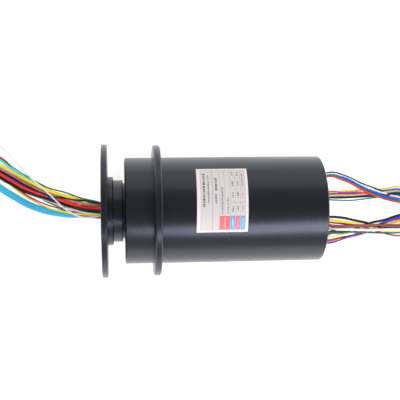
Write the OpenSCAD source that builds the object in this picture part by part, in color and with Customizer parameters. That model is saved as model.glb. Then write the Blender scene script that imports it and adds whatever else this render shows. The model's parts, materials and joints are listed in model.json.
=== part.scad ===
// Slip ring: a flanged housing that stays still, and a hollow rotor with a flange that turns in it.
// X runs along the turning axis, towards the end where the housing's leads come out.
// X = 0 is the rear face of the housing's flange, where the slip ring is bolted to its machine.
// Angles round the axis are measured from +Z towards +Y.

/* [Housing] */
// Outer diameter of the housing
housing_d = 86; // [82:1:94]
// Length of the housing tube, behind the flange's rear face
tube_len = 130.8; // [129:0.1:150]
// Wall of the housing tube
tube_wall = 3; // [2.6:0.1:4]
// Length of the housing in front of its flange
nose_len = 22.9; // [21.5:0.1:30]
// Chamfer on the housing's two ends
housing_chamfer = 0.8; // [0.3:0.1:1]
// Depth of the rear cover's face inside the tube's end
cover_recess = 1; // [0.4:0.1:2]
// Thickness of the rear cover
cover_t = 7; // [6:0.5:10]

/* [Housing flange] */
// Diameter of the housing's flange
flange_d = 106; // [103:1:116]
// Thickness of the housing's flange
flange_t = 5.6; // [4:0.2:9]
// Chamfer on the housing flange's rim
flange_chamfer = 1; // [0.4:0.1:1.6]
// Circle of the housing flange's bolt holes
flange_pcd = 96; // [95:0.5:97]
// Diameter of the housing flange's bolt holes
flange_hole_d = 4.5; // [3.4:0.1:5.5]
// Number of bolt holes in the housing flange
flange_holes = 6; // [4:1:12]

/* [Rotor] */
// Diameter of the rotor's flange
disc_d = 108; // [104:1:116]
// Thickness of the rotor's flange
disc_t = 4.8; // [4:0.2:8]
// Chamfer on the rotor flange's rim
disc_chamfer = 0.6; // [0.3:0.1:1.2]
// Circle of the rotor flange's bolt holes
disc_pcd = 96; // [94:0.5:97]
// Diameter of the rotor flange's bolt holes
disc_hole_d = 4.5; // [3.4:0.1:5.5]
// Number of bolt holes in the rotor flange
disc_holes = 6; // [4:1:12]
// Diameter of the collar behind the rotor's flange
collar_d = 55.6; // [54:0.2:60]
// Length of the collar
collar_len = 4.5; // [3.5:0.1:8]
// Diameter of the rotor's neck
neck_d = 50; // [48:0.5:53]
// Length of the neck
neck_len = 7.7; // [6:0.1:12]
// Open gap between the neck and the housing's front face
front_gap = 1.5; // [1:0.1:3]
// Diameter of the rotor where it enters the housing
throat_d = 45; // [43:0.5:47]
// Diameter of the rotor's bore, which its leads run through
rotor_bore_d = 20; // [18:0.5:22]
// Circle of the screws that hold the rotor's flange on its collar
disc_screw_pcd = 42; // [41:0.5:43]

/* [Bearings] */
// Bore of the front bearing
front_id = 35; // [34:0.5:36]
// Outer diameter of the front bearing
front_od = 55; // [54:0.5:58]
// Width of the front bearing
front_w = 10; // [9:0.5:11]
// Bore of the rear bearing
rear_id = 30; // [29:0.5:31]
// Outer diameter of the rear bearing
rear_od = 42; // [41.5:0.5:44]
// Width of the rear bearing
rear_w = 7; // [6:0.5:7.5]

/* [Contact rings] */
// Number of wide rings for power
power_rings_n = 4; // [1:1:4]
// Number of narrow rings for signals
signal_rings_n = 20; // [4:1:20]
// Width of a power ring
power_ring_w = 5; // [3:0.2:5]
// Width of a signal ring
signal_ring_w = 2; // [1.4:0.1:2]
// Width of an insulating washer
insulator_w = 1.4; // [0.8:0.1:1.4]
// Outer diameter of the contact rings
ring_d = 44; // [42:0.5:46]
// Outer diameter of the insulating washers
insulator_d = 48; // [47:0.5:50]
// Outer diameter of the sleeve that carries the rings
sleeve_d = 36; // [35:0.5:38]

/* [Brush gear] */
// Diameter of the four rods that join the front housing to the rear cover
rod_d = 7; // [6:0.2:7.4]
// Radius on which the rods and the lead outlets lie
rod_r = 33; // [32.6:0.1:33.4]
// Width of a brush block
block_w = 12; // [10:0.5:13]
// Radius at which a brush block's inner face lies
block_r = 28; // [27:0.2:28.6]
// Height of a brush block
block_h = 9; // [8:0.2:9.4]
// Diameter of a power brush
power_brush_d = 3.4; // [2:0.2:3.6]
// Diameter of a signal brush wire
signal_brush_d = 0.8; // [0.5:0.1:1]

/* [Leads] */
// Angle between neighbouring lead outlets in the rear cover
outlet_step = 36; // [34:1:38]
// Diameter of a lead outlet's hole
outlet_d = 9; // [8:0.2:9.4]
// Diameter of the data cable
data_cable_d = 6; // [5:0.1:6.4]
// Diameter of a bundle of rotor leads
rotor_bundle_d = 7; // [6:0.2:7]
// Diameter of a bundle of housing leads
stator_bundle_d = 5; // [4:0.2:5.4]
// Middle radius of the coils that the leads end in
coil_r = 30; // [28:0.5:31]
// Width of the rotor leads' coil, across its turn
rotor_coil_w = 12; // [10:0.5:13]
// Width of the housing leads' coil, across its turn
stator_coil_w = 11; // [9:0.5:12]
// Height of the coils
coil_h = 7; // [6:0.5:8]
// Width of the cable ties
tie_w = 2.5; // [2:0.1:4]
// Thickness of a cable tie's strap
tie_t = 0.9; // [0.6:0.1:1]

/* [Label] */
// Length of the label along the housing
label_len = 40; // [30:1:50]
// Distance of the label from the flange's rear face
label_x = 27; // [15:1:40]
// Angle at which the label starts, on the -Y side
label_from = -25; // [-40:1:-10]
// Angle at which the label ends, on the +Y side
label_to = 47; // [20:1:60]
// Thickness of the label
label_t = 0.15; // [0.1:0.05:0.3]

/* [Clearances] */
// Radial gap between pieces that are pressed or clamped together
seat_gap = 0.02; // [0.01:0.01:0.04]
// Radial gap round screws, studs and grommets
loose_gap = 0.1; // [0.05:0.01:0.15]
// Gap between a ball and its race
ball_gap = 0.06; // [0.03:0.01:0.08]
// Gap between a brush and its ring
brush_gap = 0.1; // [0.05:0.01:0.2]
// Gap between turning and still faces
run_gap = 0.6; // [0.4:0.1:0.8]

/* [Hidden] */
$fn = 96;

// Places along the axis, from the front
housing_front = -(flange_t + nose_len);
neck_front = housing_front - front_gap - neck_len;
collar_front = neck_front - collar_len;
disc_front = collar_front - disc_t;
front_wall_t = 7;
front_seat = housing_front + front_wall_t;
front_seat_end = front_seat + front_w;
circlip_t = 1.5;
circlip_h = 2.5;
groove_depth = 1;
groove_land = 2;
spigot_len = 8;
spigot_t = 9;
circlip_from = 20;
circlip_to = 340;
seal_w = 3;
seal_h = 3.4;
seal_inset = 2;
seal_x = housing_front + seal_inset;
tube_sink = 0.8;
tube_id = housing_d - 2 * tube_wall;
cover_out = tube_len - cover_recess;
cover_in = cover_out - cover_t;
cover_lip_t = 1.5;
cover_lip_w = tube_wall / 2;
boss_len = 9.8;
boss_wall = 4;
boss_d = rear_od + 2 * boss_wall;
boss_in = cover_in - boss_len;
rear_seat_inset = 0.5;
rear_seat = boss_in + rear_seat_inset;
rear_seat_end = rear_seat + rear_w;
rear_shoulder = 4;
end_circlip_t = 1;
end_circlip_h = 1.4;
end_land = 0.4;
shaft_end = rear_seat_end + end_circlip_t + end_land;
cover_floor = shaft_end + run_gap;

// The rotor's turned steps
hub_spigot_d = 30;
hub_spigot_len = disc_t * 0.6;
shoulder_d = front_id + 6;
shoulder_len = 2.5;
stack_shoulder = spigot_len;
stack_shoulder_d = front_id - 2;
hub_chamfer = 0.5;

// The stack of rings on the sleeve
rings_n = power_rings_n + signal_rings_n;
stack_flange_t = 3;
stack_front = stack_shoulder + stack_flange_t;
stack_len = power_rings_n * power_ring_w + signal_rings_n * signal_ring_w + (rings_n + 1) * insulator_w;
stack_end = stack_front + stack_len;
function ring_w(i) = i < power_rings_n ? power_ring_w : signal_ring_w;
function ring_x(i) = stack_front + insulator_w
    + min(i, power_rings_n) * (power_ring_w + insulator_w)
    + max(i - power_rings_n, 0) * (signal_ring_w + insulator_w);
ring_groove = 0.3;
nut_len = 2.6;
nut_wall = 5;
nut_d = rear_id + 2 * nut_wall;
spacer_wall = 2;
board_t = 1.6;
board_gap = 1;
board_inner_gap = 2;
board_outer_gap = 1.5;
board_x = boss_in - board_t - board_gap;
block_front = stack_front;
block_back = board_x;

// Fasteners
stud_d = 4;
stud_len = 6;
screw_head_d = 7;
screw_head_h = 4;
screw_len = 14;
screw_end = 2;
screw_key_d = 3.4;
screw_key_h = 2;
countersunk_d = 7.6;
countersunk_h = 2.2;
countersunk_key_d = 2.9;
countersunk_key_h = 1.4;
disc_screw_len = 9;
disc_screws_n = 6;
past = 1;
outlet_flange_d = 11;
outlet_flange_t = 1.2;
gland_head_d = 26;
gland_head_t = 2;
gland_sink = 0.8;
gland_len = 8;
gland_wall = 3;
grommet_wall = 1.5;
inner_lead_d = outlet_d - 2 * grommet_wall;
harness_d = rotor_bore_d - 2 * gland_wall - 2 * loose_gap;
tie_head_w = 4;
tie_head_out = 3;
tie_head_lift = 2;

// Balls, races and cages take their sizes from the bearing's section
ball_share = 0.55;
race_share = 0.4;
cage_share = 0.42;
cage_width_share = 1.35;
front_balls_n = 16;
front_ball_d = (front_od - front_id) / 2 * ball_share;
front_ball_r = (front_id + front_od) / 4;
front_ball_x = front_seat + front_w / 2;
front_race_gap = front_ball_d * race_share;
rear_balls_n = 22;
rear_ball_d = (rear_od - rear_id) / 2 * ball_share;
rear_ball_r = (rear_id + rear_od) / 4;
rear_ball_x = rear_seat + rear_w / 2;
rear_race_gap = rear_ball_d * race_share;

// The leads lie on the same surface as the rims of the two flanges, at Z = -54.
// Each route starts at its outlet, and its other points were chosen by eye.
surface_z = -54;
gland_face = disc_front - gland_head_t;
outlet_face = cover_out + outlet_flange_t;
lead_straight = 8;
function outlet_angle(i) = 180 + (i - 2.5) * outlet_step;
function outlet_at(i) = [outlet_face, rod_r * sin(outlet_angle(i)), rod_r * cos(outlet_angle(i))];

data_cable_route = concat([[gland_face, -1, -4], [gland_face - 6, -1.5, -4]],
    [[-66, -3, -8], [-78, -2, -17], [-90, 0, -29], [-102, 3, -40],
     [-114, 8, -48], [-125, 14, -51], [-136, 22, -51], [-146, 31, -50.5], [-153, 41, -50]]);
rotor_upper_route = concat([[gland_face, 3.5, 1.5], [gland_face - 6, 4.5, 1.5]],
    [[-64, 9, -4], [-78, 13.5, -15], [-92, 18, -29], [-104, 23, -40],
     [-114, 29, -47], [-124, 35.5, -50], [-136, 43, -50], [-147, 49, -50], [-160, 52, -50]]);
rotor_lower_route = concat([[gland_face, -3, 2.5], [gland_face - 6, -2.5, 2]],
    [[-64, 0, -4], [-78, 4.5, -15], [-92, 9, -29], [-104, 13.5, -40],
     [-114, 19, -47], [-124, 25, -50], [-136, 33.5, -50], [-147, 41.5, -50], [-156, 46.5, -50]]);
stator_routes = [
    [[150, 28, -24], [160, 28, -30], [170, 25, -38], [181, 20.5, -45],
     [192, 15.5, -50], [206, 10.5, -51], [219, 7, -51], [236, 1.5, -51], [252, -4.5, -50.5]],
    [[150, 11, -34.5], [162, 11, -40], [174, 11, -45.5], [185, 12, -50],
     [197, 14, -51], [208, 16, -51], [219, 17, -51], [236, 9, -51], [252, -2.5, -50.5]],
    [[150, -12, -34.5], [162, -13, -40], [174, -14.5, -45.5], [185, -15.5, -50],
     [197, -15.5, -51], [208, -15, -51], [219, -14, -51], [236, -9.5, -51], [252, -7, -50.5]],
    [[148, -25, -22], [158, -24, -28], [168, -23, -36], [179, -22.5, -44],
     [190, -22.5, -50], [204, -23, -51], [219, -24, -51], [236, -16.5, -51], [252, -8.5, -50.5]]];
rotor_coil_at = [-176, 24];
rotor_coil_from = 40;
rotor_coil_to = 350;
stator_coil_at = [258, 24];
stator_coil_from = -98;
stator_coil_to = 225;
rotor_tie_angles = [110, 290];
stator_tie_angles = [-40, 160];

// ---- helpers ----

// A turned piece: the outline's points are [radius, place along the axis].
module turned(outline, angle = 360)
    rotate([0, 90, 0]) rotate_extrude(angle = angle) polygon(outline);

// A plain turned ring.
module tube_ring(d_in, d_out, x0, x1)
    turned([[d_in / 2, x0], [d_out / 2, x0], [d_out / 2, x1], [d_in / 2, x1]]);

// A stretch of ring between two angles.
module arc_ring(r0, r1, x0, x1, from, to)
    rotate([0, 90, 0]) rotate([0, 0, 180 - to]) rotate_extrude(angle = to - from)
        translate([r0, x0]) square([r1 - r0, x1 - x0]);

// A round bar or hole along the axis, at a radius and an angle.
module bar(x0, x1, d, r = 0, angle = 0)
    rotate([-angle, 0, 0]) translate([x0, 0, r]) rotate([0, 90, 0]) cylinder(h = x1 - x0, d = d);

// A countersink whose wide end is at x0.
module countersink(x0, wide, narrow, depth, r, angle)
    rotate([-angle, 0, 0]) translate([x0, 0, r]) rotate([0, 90, 0])
        cylinder(h = depth, d1 = wide, d2 = narrow);

// Copies of a piece, evenly spaced round the axis.
module round_copies(n, start = 0)
    for (i = [0 : n - 1]) rotate([-(start + i * 360 / n), 0, 0]) children();

function unit(v) = v / norm(v);
function along(path, i) = unit(path[min(i + 1, len(path) - 1)] - path[max(i - 1, 0)]);

// A tube swept along a path, with one ring of corners at each of its points.
module sweep(path, d, sides = 8) {
    corners = [for (i = [0 : len(path) - 1])
        let (ahead = along(path, i), side = unit(cross(ahead, [0, 0, 1])), up = cross(side, ahead))
        for (k = [0 : sides - 1]) path[i] + d / 2 * (cos(k * 360 / sides) * side + sin(k * 360 / sides) * up)];
    walls = [for (i = [0 : len(path) - 2]) for (k = [0 : sides - 1])
        let (next = (k + 1) % sides)
        each [[i * sides + k, (i + 1) * sides + k, (i + 1) * sides + next],
              [i * sides + k, (i + 1) * sides + next, i * sides + next]]];
    first = [for (k = [0 : sides - 1]) k];
    last = [for (k = [0 : sides - 1]) len(path) * sides - 1 - k];
    polyhedron(points = corners, faces = concat([first, last], walls));
}

// The outer shape of a coil that lies flat: a ring with chamfered edges, from one angle to another.
module coil(at, width, from, to) {
    c = width / 5;
    translate([at[0], at[1], surface_z + tie_t + seat_gap]) rotate([0, 0, from])
        rotate_extrude(angle = to - from) translate([coil_r - width / 2, 0])
            polygon([[c, 0], [width - c, 0], [width, c], [width, coil_h - c],
                     [width - c, coil_h], [c, coil_h], [0, coil_h - c], [0, c]]);
}

// A cable tie round a coil at an angle, with its head on the outside.
module coil_tie(at, width, angle) {
    inside = width + 2 * loose_gap;
    translate([at[0], at[1], surface_z]) rotate([0, 0, angle]) translate([coil_r, 0, 0])
        difference() {
            union() {
                translate([-inside / 2 - tie_t, -tie_w / 2, 0])
                    cube([inside + 2 * tie_t, tie_w, coil_h + 2 * tie_t + 2 * loose_gap]);
                translate([inside / 2, -tie_head_w / 2, tie_head_lift])
                    cube([tie_head_out, tie_head_w, tie_head_w]);
            }
            translate([-inside / 2, -tie_w, tie_t]) cube([inside, 2 * tie_w, coil_h + 2 * loose_gap]);
        }
}

// ---- still pieces ----

// The front housing is turned from one piece with its flange, and holds the front bearing.
// The tube is let into the flange, so the flange's rear face is clear for the machine's plate.
module front_housing() {
    c = housing_chamfer;
    r = housing_d / 2;
    rf = flange_d / 2;
    f = flange_chamfer;
    spigot_r = tube_id / 2 - seat_gap;
    groove_end = front_seat_end + circlip_t + seat_gap;
    color([0.09, 0.09, 0.1]) difference() {
        turned([[throat_d / 2 + run_gap, housing_front], [r - c, housing_front], [r, housing_front + c],
                [r, -flange_t], [rf - f, -flange_t], [rf, -flange_t + f], [rf, -f], [rf - f, 0],
                [r + seat_gap, 0], [r + seat_gap, -tube_sink], [spigot_r, -tube_sink],
                [spigot_r, spigot_len], [spigot_r - spigot_t, spigot_len],
                [spigot_r - spigot_t, groove_end + groove_land], [front_od / 2, groove_end + groove_land],
                [front_od / 2, groove_end], [front_od / 2 + groove_depth, groove_end],
                [front_od / 2 + groove_depth, front_seat_end], [front_od / 2, front_seat_end],
                [front_od / 2, front_seat], [throat_d / 2 + run_gap, front_seat]]);
        tube_ring(throat_d, throat_d + 2 * seal_h, seal_x, seal_x + seal_w);
        round_copies(flange_holes) bar(-flange_t - past, past, flange_hole_d, flange_pcd / 2);
        round_copies(4) bar(spigot_len - stud_len - past, spigot_len + past, stud_d + 2 * loose_gap, rod_r);
    }
}

// The tube closes the housing behind the flange.
module housing_tube() {
    c = housing_chamfer;
    r = housing_d / 2;
    color([0.09, 0.09, 0.1])
        turned([[tube_id / 2, -tube_sink], [r, -tube_sink], [r, tube_len - c], [r - c, tube_len],
                [tube_id / 2 + cover_lip_w, tube_len], [tube_id / 2 + cover_lip_w, cover_out - cover_lip_t],
                [tube_id / 2, cover_out - cover_lip_t]]);
}

// The rear cover sits in the tube's end and holds the rear bearing in a boss.
module rear_cover() {
    r = tube_id / 2 - seat_gap;
    lip = r + cover_lip_w;
    color([0.1, 0.1, 0.11]) difference() {
        turned([[0, cover_floor], [rear_od / 2 - rear_shoulder, cover_floor],
                [rear_od / 2 - rear_shoulder, rear_seat_end],
                [rear_od / 2, rear_seat_end], [rear_od / 2, boss_in], [boss_d / 2, boss_in],
                [boss_d / 2, cover_in], [r, cover_in], [r, cover_out - cover_lip_t],
                [lip, cover_out - cover_lip_t], [lip, cover_out], [0, cover_out]]);
        round_copies(4) {
            bar(cover_in - past, cover_out + past, stud_d + 2 * loose_gap, rod_r);
            bar(cover_out - screw_head_h - loose_gap, cover_out + past, screw_head_d + 2 * loose_gap, rod_r);
        }
        for (i = [1 : 4]) bar(cover_in - past, cover_out + past, outlet_d, rod_r, outlet_angle(i));
    }
}

// Four rods hold the front housing, the tube and the rear cover together.
module tie_rods() {
    color([0.75, 0.76, 0.78]) round_copies(4) difference() {
        union() {
            bar(spigot_len, cover_in, rod_d, rod_r);
            bar(spigot_len - stud_len, spigot_len, stud_d, rod_r);
        }
        bar(cover_in - screw_len, cover_in + past, stud_d + 2 * loose_gap, rod_r);
    }
}

module cover_screws() {
    color([0.2, 0.2, 0.21]) round_copies(4) difference() {
        union() {
            bar(cover_out - screw_head_h, cover_out, screw_head_d, rod_r);
            bar(cover_in - screw_len + screw_end, cover_out - screw_head_h, stud_d, rod_r);
        }
        translate([cover_out - screw_key_h, 0, rod_r]) rotate([0, 90, 0])
            cylinder(h = screw_key_h + past, d = screw_key_d, $fn = 6);
    }
}

// A moulded block slides on each rod and carries the brushes.
module brush_block(angle) {
    color([0.9, 0.88, 0.8]) difference() {
        rotate([-angle, 0, 0]) translate([block_front, -block_w / 2, block_r])
            cube([block_back - block_front, block_w, block_h]);
        bar(block_front - past, block_back + past, rod_d + 2 * seat_gap, rod_r, angle);
    }
}

// Every ring has two brushes on opposite sides, and neighbours take them from different blocks.
module brush(i, d)
    for (half = [0, 180]) rotate([-(90 * (i % 2) + half), 0, 0])
        translate([ring_x(i) + ring_w(i) / 2, 0, ring_d / 2 + brush_gap])
            cylinder(h = block_r - ring_d / 2 - brush_gap, d = d, $fn = 24);

module power_brushes()
    color([0.3, 0.28, 0.27]) for (i = [0 : power_rings_n - 1]) brush(i, power_brush_d);

module brush_wires()
    color([0.85, 0.7, 0.35]) for (i = [power_rings_n : rings_n - 1]) brush(i, signal_brush_d);

// The board joins the brushes to the leads, and is threaded on the rods.
module terminal_board() {
    color([0.1, 0.4, 0.2]) difference() {
        tube_ring(insulator_d + 2 * board_inner_gap, tube_id - 2 * board_outer_gap, board_x, board_x + board_t);
        round_copies(4) bar(board_x - past, board_x + board_t + past, rod_d + 2 * seat_gap, rod_r);
    }
}

module inner_leads()
    color([0.55, 0.5, 0.45]) for (i = [1 : 4])
        bar(board_x + board_t, outlet_face, inner_lead_d, rod_r, outlet_angle(i));

// Rubber grommets line the four lead outlets.
module lead_grommets()
    color([0.12, 0.12, 0.12]) for (i = [1 : 4]) difference() {
        union() {
            bar(cover_in, cover_out, outlet_d - 2 * seat_gap, rod_r, outlet_angle(i));
            bar(cover_out, outlet_face, outlet_flange_d, rod_r, outlet_angle(i));
        }
        bar(cover_in - past, outlet_face + past, inner_lead_d + 2 * seat_gap, rod_r, outlet_angle(i));
    }

// ---- bearings ----

// A grooved ring; the groove's centre is on the circle of the balls' centres.
module race(d_in, d_out, x0, width, ball_d, ball_r) {
    color([0.8, 0.81, 0.83]) difference() {
        tube_ring(d_in, d_out, x0, x0 + width);
        rotate([0, 90, 0]) rotate_extrude()
            translate([ball_r, x0 + width / 2]) circle(d = ball_d + 2 * ball_gap);
    }
}

module ball_set(n, x, ball_d, ball_r)
    color([0.85, 0.86, 0.88]) round_copies(n) translate([x, 0, ball_r]) sphere(d = ball_d, $fn = 48);

module cage(n, x, ball_d, ball_r) {
    thick = ball_d * cage_share;
    wide = ball_d * cage_width_share;
    color([0.75, 0.6, 0.35]) difference() {
        tube_ring(2 * ball_r - thick, 2 * ball_r + thick, x - wide / 2, x + wide / 2);
        round_copies(n) translate([x, 0, ball_r]) sphere(d = ball_d + 2 * ball_gap, $fn = 48);
    }
}

module front_bearing_outer()
    race(2 * (front_ball_r + front_race_gap), front_od - 2 * seat_gap,
         front_seat, front_w, front_ball_d, front_ball_r);

module front_bearing_inner()
    race(front_id + 2 * seat_gap, 2 * (front_ball_r - front_race_gap),
         front_seat, front_w, front_ball_d, front_ball_r);

module rear_bearing_outer()
    race(2 * (rear_ball_r + rear_race_gap), rear_od - 2 * seat_gap,
         rear_seat, rear_w, rear_ball_d, rear_ball_r);

module rear_bearing_inner()
    race(rear_id + 2 * seat_gap, 2 * (rear_ball_r - rear_race_gap),
         rear_seat, rear_w, rear_ball_d, rear_ball_r);

module front_balls() ball_set(front_balls_n, front_ball_x, front_ball_d, front_ball_r);
module front_cage() cage(front_balls_n, front_ball_x, front_ball_d, front_ball_r);
module rear_balls() ball_set(rear_balls_n, rear_ball_x, rear_ball_d, rear_ball_r);
module rear_cage() cage(rear_balls_n, rear_ball_x, rear_ball_d, rear_ball_r);

// The outer ring's snap ring sits in a groove of the front housing.
module bearing_circlip()
    color([0.35, 0.35, 0.37])
        arc_ring(front_od / 2 - circlip_h, front_od / 2 + groove_depth - seat_gap,
                 front_seat_end, front_seat_end + circlip_t, circlip_from, circlip_to);

// The dust seal fills the front housing's groove and stops just short of the rotor.
module dust_seal()
    color([0.15, 0.15, 0.15])
        tube_ring(throat_d + 2 * brush_gap, throat_d + 2 * seal_h - 2 * seat_gap, seal_x, seal_x + seal_w);

// The label is a thin sheet wrapped on the tube.
module label()
    color([0.93, 0.93, 0.92])
        arc_ring(housing_d / 2 + seat_gap, housing_d / 2 + seat_gap + label_t,
                 label_x, label_x + label_len, label_from, label_to);

// ---- the rotor ----

// Collar, neck, throat and hollow shaft are turned from one piece.
module rotor_hub() {
    bore = rotor_bore_d / 2;
    groove_r = front_id / 2 - groove_depth;
    end_groove_r = rear_id / 2 - groove_depth;
    c = hub_chamfer;
    color([0.1, 0.1, 0.11]) difference() {
        turned([[bore, collar_front - hub_spigot_len],
                [hub_spigot_d / 2 - seat_gap, collar_front - hub_spigot_len],
                [hub_spigot_d / 2 - seat_gap, collar_front], [collar_d / 2, collar_front],
                [collar_d / 2, neck_front - c], [collar_d / 2 - c, neck_front],
                [neck_d / 2, neck_front], [neck_d / 2, housing_front - front_gap - c],
                [neck_d / 2 - c, housing_front - front_gap],
                [throat_d / 2, housing_front - front_gap], [throat_d / 2, front_seat - shoulder_len],
                [shoulder_d / 2, front_seat - shoulder_len], [shoulder_d / 2, front_seat],
                [front_id / 2, front_seat], [front_id / 2, front_seat_end],
                [groove_r, front_seat_end], [groove_r, front_seat_end + circlip_t],
                [stack_shoulder_d / 2, front_seat_end + circlip_t], [stack_shoulder_d / 2, stack_shoulder],
                [rear_id / 2, stack_shoulder], [rear_id / 2, rear_seat_end],
                [end_groove_r, rear_seat_end], [end_groove_r, rear_seat_end + end_circlip_t],
                [rear_id / 2, rear_seat_end + end_circlip_t], [rear_id / 2, shaft_end], [bore, shaft_end]]);
        round_copies(disc_screws_n)
            bar(collar_front - past, disc_front + disc_screw_len + past, stud_d + 2 * loose_gap,
                disc_screw_pcd / 2);
    }
}

// The flange that the machine's turning side is bolted to.
module rotor_flange() {
    r = disc_d / 2;
    c = disc_chamfer;
    seat = collar_front - hub_spigot_len;
    color([0.09, 0.09, 0.1]) difference() {
        turned([[rotor_bore_d / 2, disc_front + gland_sink],
                [gland_head_d / 2 + seat_gap, disc_front + gland_sink],
                [gland_head_d / 2 + seat_gap, disc_front],
                [r - c, disc_front], [r, disc_front + c], [r, collar_front - c],
                [r - c, collar_front], [hub_spigot_d / 2, collar_front], [hub_spigot_d / 2, seat],
                [rotor_bore_d / 2, seat]]);
        round_copies(disc_holes) bar(disc_front - past, collar_front + past, disc_hole_d, disc_pcd / 2);
        round_copies(disc_screws_n) {
            bar(disc_front - past, collar_front + past, stud_d + 2 * loose_gap, disc_screw_pcd / 2);
            countersink(disc_front - loose_gap, countersunk_d + 4 * loose_gap, stud_d,
                        countersunk_h + 2 * loose_gap, disc_screw_pcd / 2, 0);
        }
    }
}

module rotor_flange_screws()
    color([0.22, 0.22, 0.23]) round_copies(disc_screws_n) difference() {
        union() {
            countersink(disc_front, countersunk_d, stud_d, countersunk_h, disc_screw_pcd / 2, 0);
            bar(disc_front + countersunk_h, disc_front + disc_screw_len, stud_d, disc_screw_pcd / 2);
        }
        translate([disc_front - past, 0, disc_screw_pcd / 2]) rotate([0, 90, 0])
            cylinder(h = past + countersunk_key_h, d = countersunk_key_d, $fn = 6);
    }

module shaft_circlips() {
    color([0.35, 0.35, 0.37]) {
        arc_ring(front_id / 2 - groove_depth + seat_gap, front_id / 2 - groove_depth + circlip_h,
                 front_seat_end, front_seat_end + circlip_t - seat_gap, circlip_from, circlip_to);
        arc_ring(rear_id / 2 - groove_depth + seat_gap, rear_id / 2 + end_circlip_h,
                 rear_seat_end, rear_seat_end + end_circlip_t - seat_gap, circlip_from, circlip_to);
    }
}

// The rings and their washers sit on an insulating sleeve, which a nut holds against the shaft's shoulder.
module ring_sleeve()
    color([0.85, 0.8, 0.65]) union() {
        tube_ring(rear_id + 2 * seat_gap, sleeve_d - 2 * seat_gap, stack_shoulder, stack_end);
        tube_ring(rear_id + 2 * seat_gap, ring_d, stack_shoulder, stack_front);
    }

module stack_nut()
    color([0.7, 0.71, 0.73]) tube_ring(rear_id + 2 * seat_gap, nut_d, stack_end, stack_end + nut_len);

// The spacer sets the nut's distance from the rear bearing's inner ring.
module rear_spacer()
    color([0.7, 0.71, 0.73])
        tube_ring(rear_id + 2 * seat_gap, rear_id + 2 * spacer_wall, stack_end + nut_len, rear_seat);

// A ring with a V groove for its brush.
module contact_ring(i) {
    x = ring_x(i);
    w = ring_w(i);
    turned([[sleeve_d / 2, x], [ring_d / 2, x], [ring_d / 2, x + w / 5], [ring_d / 2 - ring_groove, x + w / 2],
            [ring_d / 2, x + w * 4 / 5], [ring_d / 2, x + w], [sleeve_d / 2, x + w]]);
}

module power_rings()
    color([0.83, 0.62, 0.3]) for (i = [0 : power_rings_n - 1]) contact_ring(i);

module signal_rings()
    color([0.9, 0.72, 0.3]) for (i = [power_rings_n : rings_n - 1]) contact_ring(i);

module ring_insulators()
    color([0.2, 0.2, 0.22]) for (i = [0 : rings_n])
        tube_ring(sleeve_d, insulator_d, ring_x(i) - insulator_w, ring_x(i));

// The leads inside the shaft, drawn as one round bundle.
module rotor_harness()
    color([0.5, 0.45, 0.4]) bar(gland_face, stack_end, harness_d);

module rotor_gland() {
    inside = rotor_bore_d - 2 * gland_wall;
    color([0.12, 0.12, 0.12]) union() {
        tube_ring(inside, gland_head_d, gland_face, disc_front + gland_sink);
        tube_ring(inside, rotor_bore_d - 2 * seat_gap, disc_front + gland_sink, disc_front + gland_len);
    }
}

// ---- leads ----

module data_cable() color([0.15, 0.6, 0.8]) sweep(data_cable_route, data_cable_d, 10);
module rotor_leads_upper() color([0.75, 0.6, 0.2]) sweep(rotor_upper_route, rotor_bundle_d, 10);
module rotor_leads_lower() color([0.7, 0.15, 0.12]) sweep(rotor_lower_route, rotor_bundle_d, 10);
module rotor_lead_coil()
    color([0.6, 0.4, 0.3]) coil(rotor_coil_at, rotor_coil_w, rotor_coil_from, rotor_coil_to);
module rotor_coil_ties()
    color([0.93, 0.93, 0.9]) for (a = rotor_tie_angles) coil_tie(rotor_coil_at, rotor_coil_w, a);

module stator_leads(i) {
    out = outlet_at(i);
    color([0.2, 0.25, 0.6])
        sweep(concat([out, out + [lead_straight, 0, 0]], stator_routes[i - 1]), stator_bundle_d, 8);
}
module stator_lead_coil()
    color([0.3, 0.35, 0.5]) coil(stator_coil_at, stator_coil_w, stator_coil_from, stator_coil_to);
module stator_coil_ties()
    color([0.93, 0.93, 0.9]) for (a = stator_tie_angles) coil_tie(stator_coil_at, stator_coil_w, a);

front_housing();
housing_tube();
rear_cover();
tie_rods();
cover_screws();
brush_block(0);  // brush_block_1
brush_block(90);  // brush_block_2
brush_block(180);  // brush_block_3
brush_block(270);  // brush_block_4
power_brushes();
brush_wires();
terminal_board();
inner_leads();
lead_grommets();
front_bearing_outer();
rear_bearing_outer();
bearing_circlip();
dust_seal();
label();
rotor_hub();
rotor_flange();
rotor_flange_screws();
front_bearing_inner();
rear_bearing_inner();
shaft_circlips();
ring_sleeve();
stack_nut();
rear_spacer();
power_rings();
signal_rings();
ring_insulators();
rotor_harness();
rotor_gland();
front_balls();
front_cage();
rear_balls();
rear_cage();
data_cable();
rotor_leads_upper();
rotor_leads_lower();
rotor_lead_coil();
rotor_coil_ties();
stator_leads(1);  // stator_leads_1
stator_leads(2);  // stator_leads_2
stator_leads(3);  // stator_leads_3
stator_leads(4);  // stator_leads_4
stator_lead_coil();
stator_coil_ties();
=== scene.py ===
import json
import math

import bmesh
import bpy
import numpy as np
from mathutils import Matrix, Vector


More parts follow.
